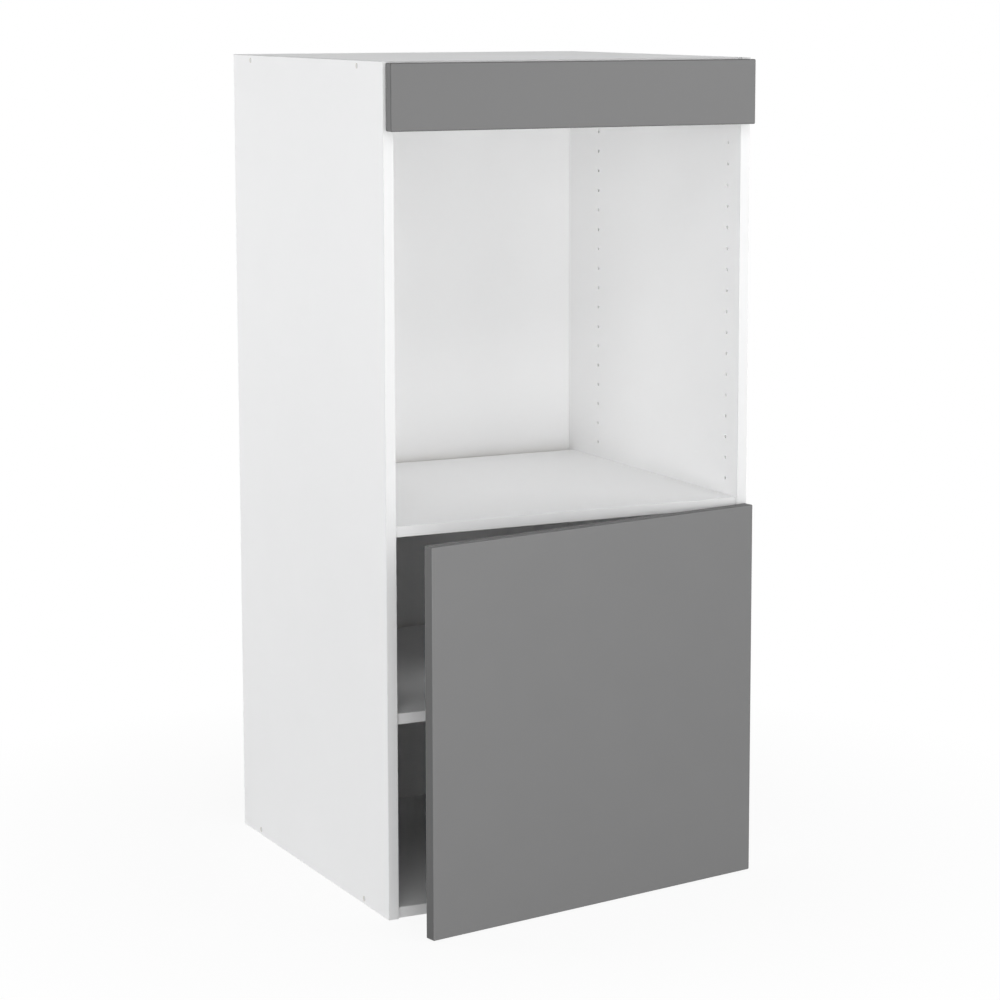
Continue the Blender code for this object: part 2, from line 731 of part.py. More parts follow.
# Hinge arm: a pressed channel, open towards the side panel, with a slim nose at its pin
def hinge_arm():
    web = arm_pin.x - arm_nose_radius
    rear = arm_pin.y + arm_length
    rim = web + arm_depth
    nose = arc(arm_pin, arm_nose_radius, 180, 360, round_sides // 2)
    neck = arm_pin.x + arm_nose_radius, arm_pin.y + arm_neck
    outline = [(web, rear), *nose, neck, (rim, neck[1] + arm_flare), (rim, rear)]
    arm = flat_piece("hinge_arm", outline, -arm_half_width, arm_half_width, nickel_steel)
    room = arm_half_width - arm_sheet
    low = (web + arm_sheet, arm_pin.y - arm_nose_radius - overrun, -room)
    high = (rim + overrun, rear + overrun, room)
    cut(arm, box("arm_channel", low, high, collection=cutters))
    reach = arm_half_width + overrun
    holes = [((arm_pin.x, arm_pin.y, -reach), (arm_pin.x, arm_pin.y, reach), hinge_pin_radius + pin_play)]
    for offset in arm_screw_places:
        place = front_row + offset
        start, end = (web - overrun, place, 0), (web + arm_sheet + overrun, place, 0)
        holes.append((start, end, arm_screw_head_radius + seat_gap))
    cut(arm, rods("arm_holes", holes, collection=cutters))
    return arm


def hinge_arm_pin():
    ends = (arm_pin.x, arm_pin.y, -arm_half_width), (arm_pin.x, arm_pin.y, arm_half_width)
    return rods("hinge_arm_pin", [(*ends, hinge_pin_radius)], nickel_steel)


# Mounting plate: wings screwed to the side panel, and a rail that the arm is clamped on
def hinge_plate():
    seat = inner_right - seat_gap
    low = (seat - plate_thickness, front_row - plate_half_width, -plate_half_length)
    high = (seat, front_row + plate_half_width, plate_half_length)
    plate = box("hinge_plate", low, high, zinc_steel)
    rail_top = inner_right - rail_rise
    rail_low = (rail_top, front_row - rail_ahead, -rail_half_width)
    rail_high = (seat - plate_thickness / 2, front_row + rail_behind, rail_half_width)
    cut(plate, box("plate_rail", rail_low, rail_high, collection=cutters), "UNION")
    holes = []
    for place in (-pitch / 2, pitch / 2):
        start, end = (seat - plate_thickness - overrun, front_row, place), (seat + overrun, front_row, place)
        holes.append((start, end, plate_screw_radius + seat_gap))
    for offset in arm_screw_places:
        place = front_row + offset
        start = (rail_top - overrun, place, 0)
        end = (rail_top + arm_screw_reach + seat_gap, place, 0)
        holes.append((start, end, arm_screw_radius + seat_gap))
    cut(plate, rods("plate_holes", holes, collection=cutters, sides=hole_sides))
    return plate


def hinge_plate_screws():
    rise = seat_gap + plate_thickness + seat_gap + plate_screw_head
    length = rise + plate_screw_reach
    profile = headed_profile(plate_screw_head_radius, plate_screw_head, plate_screw_radius, length)
    recess = list(cross_recess("plate_screw", plate_screw_head_radius))
    screw = turned_mesh("plate_screw", profile, recess, sides=screw_sides)
    for label, height in hinge_heights.items():
        for end, way in (("below", -1), ("above", 1)):
            spot = (inner_right - rise, front_row, height + way * pitch / 2)
            place_piece(f"hinge_plate_screw_{label}_{end}", screw, spot, (-1, 0, 0), zinc_steel)


def hinge_arm_screws():
    web = arm_pin.x - arm_nose_radius
    rail_top = inner_right - rail_rise
    length = rail_top + arm_screw_reach - web
    profile = headed_profile(arm_screw_head_radius, arm_screw_head, arm_screw_radius, length)
    recess = list(cross_recess("arm_screw", arm_screw_head_radius))
    screw = turned_mesh("arm_screw", profile, recess, sides=screw_sides)
    for label, height in hinge_heights.items():
        for use, offset in zip(("adjusting", "clamping"), arm_screw_places):
            name = f"hinge_{use}_screw_{label}"
            place_piece(name, screw, (web, front_row + offset, height), (-1, 0, 0), zinc_steel)


on_both_hinges("hinge_plate", hinge_plate())
on_both_hinges("hinge_arm", hinge_arm())
on_both_hinges("hinge_arm_pin", hinge_arm_pin())
on_both_hinges("hinge_link", hinge_link(), on=link_axis)
on_both_hinges("hinge_cup", hinge_cup(), on=door_axis)
hinge_plate_screws()
hinge_arm_screws()
hinge_cup_screws()

# The door stands ajar at rest
link_axis.rotation_euler.z = link_turn_share * door_ajar
door_axis.rotation_euler.z = door_ajar - link_turn_share * door_ajar
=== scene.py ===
"""Oven housing unit: the finished look of each piece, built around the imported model.

Every length is in metres. X runs to the right, +Y to the wall behind and +Z up, from the centre of the
carcass's underside.
"""
import json
import math

import bmesh
import bpy
from mathutils import Matrix, Vector


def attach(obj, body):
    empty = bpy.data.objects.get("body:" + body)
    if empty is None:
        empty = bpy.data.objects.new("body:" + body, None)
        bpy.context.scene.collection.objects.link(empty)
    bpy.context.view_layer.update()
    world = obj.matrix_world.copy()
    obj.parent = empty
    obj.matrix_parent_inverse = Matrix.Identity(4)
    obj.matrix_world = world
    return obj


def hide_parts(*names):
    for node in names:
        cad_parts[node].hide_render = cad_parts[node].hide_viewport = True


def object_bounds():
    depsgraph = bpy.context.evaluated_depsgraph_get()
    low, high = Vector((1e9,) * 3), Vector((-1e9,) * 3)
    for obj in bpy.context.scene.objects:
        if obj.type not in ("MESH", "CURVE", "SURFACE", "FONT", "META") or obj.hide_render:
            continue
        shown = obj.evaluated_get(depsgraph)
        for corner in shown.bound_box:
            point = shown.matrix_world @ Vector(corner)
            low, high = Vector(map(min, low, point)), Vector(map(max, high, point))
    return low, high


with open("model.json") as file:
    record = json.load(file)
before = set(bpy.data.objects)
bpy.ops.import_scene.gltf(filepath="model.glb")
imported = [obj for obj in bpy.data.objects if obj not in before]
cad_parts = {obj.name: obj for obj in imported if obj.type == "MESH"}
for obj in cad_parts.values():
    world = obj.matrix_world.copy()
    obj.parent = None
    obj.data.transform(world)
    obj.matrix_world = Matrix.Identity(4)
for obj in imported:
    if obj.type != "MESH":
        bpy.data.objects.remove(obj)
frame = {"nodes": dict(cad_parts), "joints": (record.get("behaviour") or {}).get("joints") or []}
cad_low, cad_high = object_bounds()

# Camera: a long lens in front and to the left of the unit, looking down a little. Its shift frames the
# unit and keeps the uprights nearly upright.
camera_place = (-1.9963, -4.1332, 1.3386)
camera_turn = math.radians(-26.860)
camera_tilt = math.radians(8.315)
camera_lens = 106.887
camera_sensor = 36
camera_shift = (-0.0416, -0.0700)

camera_data = bpy.data.cameras.new("camera")
camera_data.lens = camera_lens
camera_data.sensor_width = camera_sensor
camera_data.shift_x, camera_data.shift_y = camera_shift
camera = bpy.data.objects.new("camera", camera_data)
camera.location = camera_place
camera.rotation_euler = (math.pi / 2 - camera_tilt, 0, camera_turn)
bpy.context.scene.collection.objects.link(camera)
bpy.context.scene.camera = camera
bpy.context.scene.view_settings.view_transform = "Standard"


# Room: a white studio with soft lamps in front and on the left, and weaker ones on the right and above. The
# floor is white paper that keeps a trace of the unit's shadow.
sky_strength = 0.125
sky_colour = (0.93, 0.96, 1.0, 1)
paper_glow = 1.0
paper_colour = (1, 1, 1, 1)
floor_reach = 6.0
floor_squares = 8
floor_drop = 0.0005
floor_colour = (0.80, 0.80, 0.80, 1)
floor_roughness = 0.9
floor_shine = 0.1
shadow_reach = 1.1
shadow_fade = 0.6
shadow_share = 0.08
lamps = {
    "low_front": {"place": (-0.8, -2.8, 0.5), "aim": (0, -0.1, 1.0), "size": (2.0, 0.8), "power": 22.5},
    "near_right": {"place": (1.6, -2.6, 1.4), "aim": (0.1, -0.3, 0.8), "size": (1.5, 1.5), "power": 31},
    "front_left": {"place": (-4.0, -4.0, 1.2), "aim": (0, -0.2, 0.8), "size": (3.0, 2.2), "power": 94},
    "back_left": {"place": (-1.7, 1.3, 1.1), "aim": (-0.3, 0.2, 0.8), "size": (1.2, 1.6), "power": 14.5},
    "high_front": {"place": (-0.8, -4.0, 4.4), "aim": (0, -0.2, 0.7), "size": (4.0, 2.0), "power": 80},
    "low_right": {"place": (3.2, 1.7, 0.6), "aim": (0.3, 0.1, 0.6), "size": (2.6, 1.2), "power": 50},
    "overhead": {"place": (0.2, 0.6, 3.5), "aim": (0, 0.1, 1.2), "size": (1.5, 1.5), "power": 4.5},
}


def add_node(tree, kind, inputs=None, **settings):
    """Add a shader node with its settings, and the value or link of each input named."""
    node = tree.nodes.new(kind)
    for setting, value in settings.items():
        setattr(node, setting, value)
    for socket, value in (inputs or {}).items():
        if isinstance(value, bpy.types.NodeSocket):
            tree.links.new(value, node.inputs[socket])
        else:
            node.inputs[socket].default_value = value
    return node


def new_finish(name):
    """A new material, with its node tree and its surface shader."""
    material = bpy.data.materials.new(name)
    material.use_nodes = True
    return material, material.node_tree, material.node_tree.nodes["Principled BSDF"]


def seen_directly(tree):
    """A value of one where the camera, a reflection or a clear piece looks at the surface."""
    rays = add_node(tree, "ShaderNodeLightPath").outputs
    mirrored = add_node(tree, "ShaderNodeMath", {0: rays["Is Camera Ray"], 1: rays["Is Glossy Ray"]},
                        operation="ADD")
    total = add_node(tree, "ShaderNodeMath", {0: mirrored.outputs[0], 1: rays["Is Transmission Ray"]},
                     operation="ADD", use_clamp=True)
    return total.outputs[0]


def white_room():
    """Even light from all round, and plain white where the room itself is seen."""
    world = bpy.data.worlds.new("white_room")
    bpy.context.scene.world = world
    world.use_nodes = True
    tree = world.node_tree
    sky = tree.nodes["Background"]
    sky.inputs["Color"].default_value = sky_colour
    sky.inputs["Strength"].default_value = sky_strength
    paper = add_node(tree, "ShaderNodeBackground", {"Color": paper_colour, "Strength": paper_glow})
    mixed = add_node(tree, "ShaderNodeMixShader",
                     {0: seen_directly(tree), 1: sky.outputs[0], 2: paper.outputs[0]})
    tree.links.new(mixed.outputs[0], tree.nodes["World Output"].inputs["Surface"])


def paper_floor():
    """A floor that is seen as white, with a small share of its real light and shade near the unit."""
    mesh = bpy.data.meshes.new("floor")
    bm = bmesh.new()
    bmesh.ops.create_grid(bm, x_segments=floor_squares, y_segments=floor_squares, size=floor_reach)
    bm.to_mesh(mesh)
    bm.free()
    floor = bpy.data.objects.new("floor", mesh)
    floor.location = (0, 0, -floor_drop)
    bpy.context.scene.collection.objects.link(floor)
    material, tree, surface = new_finish("white_paper")
    surface.inputs["Base Color"].default_value = floor_colour
    surface.inputs["Roughness"].default_value = floor_roughness
    surface.inputs["Specular IOR Level"].default_value = floor_shine
    glow = add_node(tree, "ShaderNodeEmission", {"Strength": paper_glow})
    place = add_node(tree, "ShaderNodeTexCoord")
    away = add_node(tree, "ShaderNodeVectorMath", {0: place.outputs["Object"]}, operation="LENGTH")
    shadow = add_node(tree, "ShaderNodeMapRange", {
        "Value": away.outputs["Value"], "From Min": shadow_reach - shadow_fade, "From Max": shadow_reach,
        "To Min": 1 - shadow_share, "To Max": 1})
    share = add_node(tree, "ShaderNodeMath", {0: seen_directly(tree), 1: shadow.outputs["Result"]},
                     operation="MULTIPLY")
    mixed = add_node(tree, "ShaderNodeMixShader",
                     {0: share.outputs[0], 1: surface.outputs[0], 2: glow.outputs[0]})
    tree.links.new(mixed.outputs[0], tree.nodes["Material Output"].inputs["Surface"])
    mesh.materials.append(material)


def soft_lamp(name, place, aim, size, power):
    """A lamp with a wide face, aimed at a spot on the unit."""
    data = bpy.data.lights.new(name, "AREA")
    data.shape = "RECTANGLE"
    data.size, data.size_y = size
    data.energy = power
    lamp = bpy.data.objects.new(name, data)
    lamp.location = place
    lamp.rotation_euler = (Vector(aim) - Vector(place)).to_track_quat("-Z", "Y").to_euler()
    bpy.context.scene.collection.objects.link(lamp)


white_room()
paper_floor()
for name, lamp in lamps.items():
    soft_lamp(f"{name}_lamp", **lamp)


# Side panels: 16 mm chipboard faced with white melamine, sawn to size and drilled with two rows of 5 mm
# holes on the inside. A thin plastic strip is glued on the front and top edges, and the rest stay raw.
board_pores_per_metre = 1500.0
panel_white = (0.93, 0.93, 0.93)
panel_shade = (0.92, 0.92, 0.92)
panel_roughness = (0.40, 0.46)
panel_relief = 0.00002
# The strips' white sits well below the faces' white of the same board. This is painted shade that holds
# down the front light on the front edges.
strip_white_with_painted_shade = (0.69, 0.69, 0.69)
strip_dark_with_painted_shade = (0.675, 0.675, 0.675)
strip_roughness = (0.34, 0.38)
strip_pores_per_metre = 500.0
strip_relief = 0.00001
bored_light = (0.87, 0.865, 0.86)
bored_dark = (0.83, 0.825, 0.82)
bored_roughness = (0.6, 0.7)
bored_relief = 0.00005
chip_light = (0.74, 0.66, 0.54)
chip_dark = (0.50, 0.41, 0.29)
chip_dark_below = 0.05
chip_light_above = 0.45
chips_per_metre = 520.0
chip_dust_per_metre = 1400.0
chip_relief = 0.0003
chip_roughness = 0.85
chip_shine = 0.25
pore_detail = 2.0
pore_contrast = 0.6
cloud_detail = 3.0
cloud_contrast = 0.5
clouds_per_metre = 9.0
cloud_dark_below = 0.3
cloud_light_above = 0.7
strip_thickness = 0.0008
strip_round = 0.0006
strip_round_segments = 3
board_arris = 0.00015
hole_pitch = 0.032
hole_radius = 0.0025
hole_depth = 0.012
hole_flare = 0.0002
hole_sides = 20
first_hole_number = 2
hole_edge_room = 0.010
screw_way_radius = 0.0037
bolt_way_radius = 0.0025
bolt_way_depth = 0.0113
bracket_way_radius = 0.002
bracket_way_depth = 0.014
groove_depth = 0.007
groove_room = 0.0003
drill_overrun = 0.002
looks_along = 0.9
round_bevel = 0.5
smooth_below = math.radians(40)

# Places of the finishes in a board's mesh: its faces, its core where a saw or a drill has been, and the
# walls of the rows of holes.
on_face = 0
on_core = 1
on_bored = 2
finish_places = 3

# Places of the three axes in a vector.
x_axis = 0
y_axis = 1
z_axis = 2


def fine_grain_group():
    """Fine pores and wide soft clouds, which run with the piece's own coordinates."""
    group = bpy.data.node_groups.new("fine_grain", "ShaderNodeTree")
    for name in ("Pores per Metre", "Clouds per Metre"):
        group.interface.new_socket(name, in_out="INPUT", socket_type="NodeSocketFloat")
    for name in ("Pores", "Clouds"):
        group.interface.new_socket(name, in_out="OUTPUT", socket_type="NodeSocketFloat")
    entry = add_node(group, "NodeGroupInput")
    place = add_node(group, "ShaderNodeTexCoord").outputs["Object"]
    pores = add_node(group, "ShaderNodeTexNoise", {
        "Vector": place, "Scale": entry.outputs["Pores per Metre"],
        "Detail": pore_detail, "Roughness": pore_contrast})
    clouds = add_node(group, "ShaderNodeTexNoise", {
        "Vector": place, "Scale": entry.outputs["Clouds per Metre"],
        "Detail": cloud_detail, "Roughness": cloud_contrast})
    add_node(group, "NodeGroupOutput", {"Pores": pores.outputs["Fac"], "Clouds": clouds.outputs["Fac"]})
    return group


fine_grain = fine_grain_group()


def add_ramp(tree, factor, stops):
    """Add a colour ramp with a colour at each of its places."""
    ramp = add_node(tree, "ShaderNodeValToRGB", {"Fac": factor})
    for element, (place, colour) in zip(ramp.color_ramp.elements, stops):
        element.position = place
        element.color = (*colour, 1)
    return ramp.outputs["Color"]


def cloudy(tree, clouds, dark, light):
    """A colour that drifts between two with the clouds."""
    return add_ramp(tree, clouds, ((cloud_dark_below, dark), (cloud_light_above, light)))


def add_bump(tree, height, depth):
    """The normal of a surface that rises and falls with a height."""
    return add_node(tree, "ShaderNodeBump", {"Height": height, "Distance": depth}).outputs["Normal"]


def grained(name, dark, light, roughness, pores, depth, clouds=clouds_per_metre):
    """A finish with fine pores of one depth, whose colour and roughness drift between two values."""
    material, tree, surface = new_finish(name)
    grain = add_node(tree, "ShaderNodeGroup", {"Pores per Metre": pores, "Clouds per Metre": clouds},
                     node_tree=fine_grain)
    colour = cloudy(tree, grain.outputs["Clouds"], dark, light)
    rough = add_node(tree, "ShaderNodeMapRange", {
        "Value": grain.outputs["Clouds"], "From Min": cloud_dark_below, "From Max": cloud_light_above,
        "To Min": roughness[0], "To Max": roughness[1]})
    tree.links.new(colour, surface.inputs["Base Color"])
    tree.links.new(rough.outputs["Result"], surface.inputs["Roughness"])
    tree.links.new(add_bump(tree, grain.outputs["Pores"], depth), surface.inputs["Normal"])
    return material


def raw_chipboard():
    """Pressed wood chips, as the sawn edges and the screws' bores show them."""
    material, tree, surface = new_finish("raw_chipboard")
    place = add_node(tree, "ShaderNodeTexCoord").outputs["Object"]
    chips = add_node(tree, "ShaderNodeTexVoronoi", {"Vector": place, "Scale": chips_per_metre})
    dust = add_node(tree, "ShaderNodeTexNoise", {
        "Vector": place, "Scale": chip_dust_per_metre, "Detail": pore_detail})
    blend = add_node(tree, "ShaderNodeMath", {0: chips.outputs["Color"], 1: dust.outputs["Fac"]},
                     operation="MULTIPLY")
    tones = ((chip_dark_below, chip_dark), (chip_light_above, chip_light))
    tree.links.new(add_ramp(tree, blend.outputs[0], tones), surface.inputs["Base Color"])
    tree.links.new(add_bump(tree, chips.outputs["Distance"], chip_relief), surface.inputs["Normal"])
    surface.inputs["Roughness"].default_value = chip_roughness
    surface.inputs["Specular IOR Level"].default_value = chip_shine
    return material


melamine = grained("white_melamine_face", panel_shade, panel_white, panel_roughness,
                   board_pores_per_metre, panel_relief)
edge_plastic_painted_shade = grained("white_edge_strip_painted_shade", strip_dark_with_painted_shade, strip_white_with_painted_shade, strip_roughness,
                       strip_pores_per_metre, strip_relief)
chipboard = raw_chipboard()
bored_core = grained("bored_core", bored_dark, bored_light, bored_roughness,
                     board_pores_per_metre, bored_relief)


def slab(low, high, arris=0.0, segments=1, edges_of=None):
    """A box between two corners with its arrises rounded, or only those that a test picks."""
    low, high = Vector(low), Vector(high)
    bm = bmesh.new()
    bmesh.ops.create_cube(bm, size=1)
    bmesh.ops.scale(bm, vec=high - low, verts=bm.verts)
    bmesh.ops.translate(bm, vec=(low + high) / 2, verts=bm.verts)
    if arris:
        edges = [edge for edge in bm.edges if not edges_of or edges_of(edge)]
        bmesh.ops.bevel(bm, geom=edges, offset=arris, segments=segments, profile=round_bevel,
                        affect="EDGES")
    return bm


def place_along(spot, way):
    """A place at a spot, with the piece's own top pointing a way."""
    turn = Vector((0, 0, 1)).rotation_difference(Vector(way))
    return Matrix.Translation(spot) @ turn.to_matrix().to_4x4()


def add_turned(bm, profile, spot=(0, 0, 0), way=(0, 0, 1), sides=hole_sides, material=on_face):
    """Add a turned solid: its profile of radius and height stands on a spot and points a way."""
    place = place_along(spot, way)
    rings = []
    for radius, height in profile:
        if radius:
            turns = (math.tau * side / sides for side in range(sides))
            points = [(radius * math.cos(turn), radius * math.sin(turn), height) for turn in turns]
            rings.append([bm.verts.new(place @ Vector(point)) for point in points])
        else:
            rings.append([bm.verts.new(place @ Vector((0, 0, height)))] * sides)
    for upper, lower in zip(rings, rings[1:]):
        for side in range(sides):
            corners = list(dict.fromkeys((upper[side], upper[side - 1], lower[side - 1], lower[side])))
            if len(corners) > 2:
                bm.faces.new(corners).material_index = material


def drill(bm, spot, way, radius, depth, material=on_core):
    """Add a drill's path into a face at a spot, with a flared mouth. Its walls show the board's core."""
    profile = ((0, drill_overrun), (radius + hole_flare + drill_overrun, drill_overrun),
               (radius, -hole_flare), (radius, -depth), (0, -depth))
    add_turned(bm, profile, spot, way, material=material)


def in_bands(bm, axis, places):
    """Split the faces at each place along an axis, so that those with holes stay small."""
    normal = Vector((0, 0, 0))
    normal[axis] = 1
    for place in places:
        everything = bm.verts[:] + bm.edges[:] + bm.faces[:]
        bmesh.ops.bisect_plane(bm, geom=everything, plane_co=normal * place, plane_no=normal)


def loose_object(bm):
    """An object for one cut. Its empty finishes keep the places of those that come later."""
    mesh = bpy.data.meshes.new("loose")
    bmesh.ops.recalc_face_normals(bm, faces=bm.faces)
    bm.to_mesh(mesh)
    bm.free()
    for _ in range(finish_places):
        mesh.materials.append(None)
    loose = bpy.data.objects.new("loose", mesh)
    bpy.context.scene.collection.objects.link(loose)
    return loose


def cut_away(bm, cutter):
    """Subtract one mesh from another. The walls of the cut keep the cutter's finish."""
    body, tool = loose_object(bm), loose_object(cutter)
    boolean = body.modifiers.new("cut", "BOOLEAN")
    boolean.operation = "DIFFERENCE"
    boolean.solver = "EXACT"
    boolean.object = tool
    bpy.context.view_layer.update()
    rest = bmesh.new()
    rest.from_mesh(body.evaluated_get(bpy.context.evaluated_depsgraph_get()).to_mesh())
    for used in (body, tool):
        bpy.data.objects.remove(used, do_unlink=True)
    return rest


def finished_mesh(name, bm, finishes):
    """A mesh with its finishes, shaded smooth over its rounded edges."""
    mesh = bpy.data.meshes.new(name)
    bmesh.ops.recalc_face_normals(bm, faces=bm.faces)
    bm.to_mesh(mesh)
    bm.free()
    for finish in finishes:
        mesh.materials.append(finish)
    mesh.shade_smooth()
    mesh.set_sharp_from_angle(angle=smooth_below)
    return mesh


def set_piece(name, mesh, stands_for=(), body="carcass", place=Matrix()):
    """Put a piece in its place on a body, with the nodes that it stands for."""
    piece = bpy.data.objects.new(name, mesh)
    piece.matrix_world = place
    bpy.context.scene.collection.objects.link(piece)
    even = piece.modifiers.new("even_shading", "WEIGHTED_NORMAL")
    even.keep_sharp = True
    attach(piece, body)
    if stands_for:
        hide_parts(*stands_for)


def box_of(node, turn=Matrix()):
    """Lowest and highest corner of a node, turned back to where it is in the closed unit."""
    back = turn.inverted()
    corners = [back @ vertex.co for vertex in frame["nodes"][node].data.vertices]
    return Vector(map(min, zip(*corners))), Vector(map(max, zip(*corners)))


def middle_of(node, turn=Matrix()):
    """The middle of a node's box."""
    low, high = box_of(node, turn)
    return (low + high) / 2


def length_of(node, axis, turn=Matrix()):
    """How long a node's box is along an axis."""
    low, high = box_of(node, turn)
    return (high - low)[axis]


def show_core(bm, directions):
    """Leave the faces raw that look in one of these directions."""
    for face in bm.faces:
        face.normal_update()
        if any(face.normal.dot(Vector(direction)) > looks_along for direction in directions):
            face.material_index = on_core


def edge_strip(name, low, high, outward):
    """A strip on a board's edge, rounded on the arrises that a hand can reach."""
    outward = Vector(outward)
    middle = (Vector(low) + Vector(high)) / 2

    def is_outer(edge):
        return all((vertex.co - middle).dot(outward) > 0 for vertex in edge.verts)

    strip = slab(low, high, strip_round, strip_round_segments, edges_of=is_outer)
    set_piece(name, finished_mesh(name, strip, [edge_plastic_painted_shade]))


front_row = middle_of("shelf_pin_left_front").y
rear_row = middle_of("shelf_pin_left_rear").y
back_low, back_high = box_of("back_panel")


def row_heights():
    """Heights of the holes, which leave out the places of the fixed boards."""
    shelf_low, shelf_high = box_of("oven_shelf")
    top_low, _ = box_of("top_panel")
    height = first_hole_number * hole_pitch
    while height <= top_low.z - hole_edge_room:
        if not shelf_low.z - hole_edge_room < height < shelf_high.z + hole_edge_room:
            yield height
        height += hole_pitch


def side_bores(side, out, inner, outer):
    """Both rows of holes, and the bores for the cam bolts, the carcass screws and the angle's screw."""
    bores = bmesh.new()
    inward = (-out, 0, 0)
    through = abs(outer - inner) + drill_overrun
    for height in row_heights():
        for row in (front_row, rear_row):
            drill(bores, (inner, row, height), inward, hole_radius, hole_depth, on_bored)
    for end in ("front", "rear"):
        bolt = middle_of(f"shelf_cam_bolt_{side}_{end}")
        drill(bores, (inner, bolt.y, bolt.z), inward, bolt_way_radius, bolt_way_depth)
        for level in ("bottom", "top"):
            screw = middle_of(f"carcass_screw_{side}_{level}_{end}")
            drill(bores, (outer, screw.y, screw.z), (out, 0, 0), screw_way_radius, through)
    screw = middle_of(f"bracket_screw_{side}_carcass")
    drill(bores, (inner, screw.y, screw.z), inward, bracket_way_radius, bracket_way_depth)
    return bores


def back_groove(low_x, high_x, low_z, high_z):
    """A saw's path for the groove that holds the back panel."""
    groove = slab((low_x, back_low.y - groove_room, low_z), (high_x, back_high.y + groove_room, high_z))
    for face in groove.faces:
        face.material_index = on_core
    return groove


def side_panel(side, out):
    """A side's board, with a strip on its front edge and one on its top edge."""
    low, high = box_of(f"{side}_side_panel")
    inner, outer = (low.x, high.x) if out > 0 else (high.x, low.x)
    past_strip = Vector((0, strip_thickness, 0))
    below_strip = Vector((0, 0, strip_thickness))
    board = slab(low + past_strip, high - below_strip, board_arris)
    halves = (-hole_pitch / 2, hole_pitch / 2)
    between_holes = [(number + 0.5) * hole_pitch for number in range(int(high.z / hole_pitch))]
    in_bands(board, z_axis, between_holes)
    in_bands(board, y_axis, [row + half for row in (front_row, rear_row) for half in halves])
    show_core(board, ((0, 1, 0), (0, 0, -1)))
    board = cut_away(board, side_bores(side, out, inner, outer))
    low_x, high_x = sorted((inner - out * drill_overrun, inner + out * groove_depth))
    board = cut_away(board, back_groove(low_x, high_x, -drill_overrun, high.z + drill_overrun))
    mesh = finished_mesh(f"{side}_side_board", board, [melamine, chipboard, bored_core])
    set_piece(f"{side}_side_board", mesh, [f"{side}_side_panel"])
    edge_strip(f"{side}_side_front_strip", low, (high.x, low.y + strip_thickness, high.z), (0, -1, 0))
    edge_strip(f"{side}_side_top_strip", (low.x, low.y + strip_thickness, high.z - strip_thickness), high,
               (0, 0, 1))


for side, out in (("left", -1), ("right", 1)):
    side_panel(side, out)


# Level boards: the top, the bottom and the fixed oven shelf are cut to fit tightly between the sides, and
# the loose shelf a little shorter. Each is the same melamine chipboard with a strip on its front edge.
cam_bore_radius = 0.0075
cam_bore_depth = 0.0128
bolt_bore_radius = 0.0033
screw_bore_radius = 0.0027
screw_bore_depth = 0.0347
joint_reach = 0.0003


def level_board(name, node, bores=None, groove=None, fitted=True):
    """A board with a strip on its front edge. One that is fitted meets the sides without a gap."""
    low, high = box_of(node)
    if fitted:
        low.x -= joint_reach
        high.x += joint_reach
    board = slab(low + Vector((0, strip_thickness, 0)), high, board_arris)
    show_core(board, ((0, 1, 0), (1, 0, 0), (-1, 0, 0)))
    for cutter in (bores, groove):
        if cutter:
            board = cut_away(board, cutter)
    set_piece(name, finished_mesh(name, board, [melamine, chipboard]), [node])
    edge_strip(f"{name}_strip", low, (high.x, low.y + strip_thickness, high.z), (0, -1, 0))


def end_bores(level):
    """Bores in both ends of the top or bottom board for the carcass screws."""
    bores = bmesh.new()
    low, high = box_of(f"{level}_panel")
    for side, end_x, out in (("left", low.x, -1), ("right", high.x, 1)):
        for end in ("front", "rear"):
            screw = middle_of(f"carcass_screw_{side}_{level}_{end}")
            drill(bores, (end_x, screw.y, screw.z), (out, 0, 0), screw_bore_radius, screw_bore_depth)
    return bores


def oven_shelf_bores():
    """Bores for the cams in the underside, and for their bolts in both ends."""
    bores = bmesh.new()
    low, high = box_of("oven_shelf")
    for side, end_x, out in (("left", low.x, -1), ("right", high.x, 1)):
        for end in ("front", "rear"):
            cam = middle_of(f"shelf_cam_{side}_{end}")
            bolt = middle_of(f"shelf_cam_bolt_{side}_{end}")
            drill(bores, (end_x, bolt.y, bolt.z), (out, 0, 0), bolt_bore_radius, abs(cam.x - end_x))
            drill(bores, (cam.x, cam.y, low.z), (0, 0, -1), cam_bore_radius, cam_bore_depth)
    return bores


unit_left, unit_right = cad_low[x_axis], cad_high[x_axis]
bottom_top = box_of("bottom_panel")[1].z
top_underside = box_of("top_panel")[0].z
level_board("bottom_board", "bottom_panel", end_bores("bottom"),
            back_groove(unit_left, unit_right, bottom_top - groove_depth, bottom_top + drill_overrun))
level_board("top_board", "top_panel", end_bores("top"),
            back_groove(unit_left, unit_right, top_underside - drill_overrun, top_underside + groove_depth))
level_board("oven_shelf_board", "oven_shelf", oven_shelf_bores())
level_board("loose_shelf_board", "lower_shelf", fitted=False)


# Back panel: a 3 mm sheet of hardboard slid into grooves in the sides, top and bottom. Its inner face is
# lacquered white, and the back of it is left brown.
sheet_white = (0.93, 0.93, 0.93)
sheet_shade = (0.92, 0.92, 0.92)
sheet_roughness = (0.42, 0.50)
sheet_pores_per_metre = 900.0
sheet_relief = 0.00003
sheet_brown = (0.36, 0.25, 0.16)
sheet_brown_dark = (0.29, 0.20, 0.13)
sheet_brown_roughness = (0.62, 0.75)
sheet_brown_pores_per_metre = 700.0
sheet_brown_clouds_per_metre = 30.0
sheet_brown_relief = 0.00012
sheet_arris = 0.0002


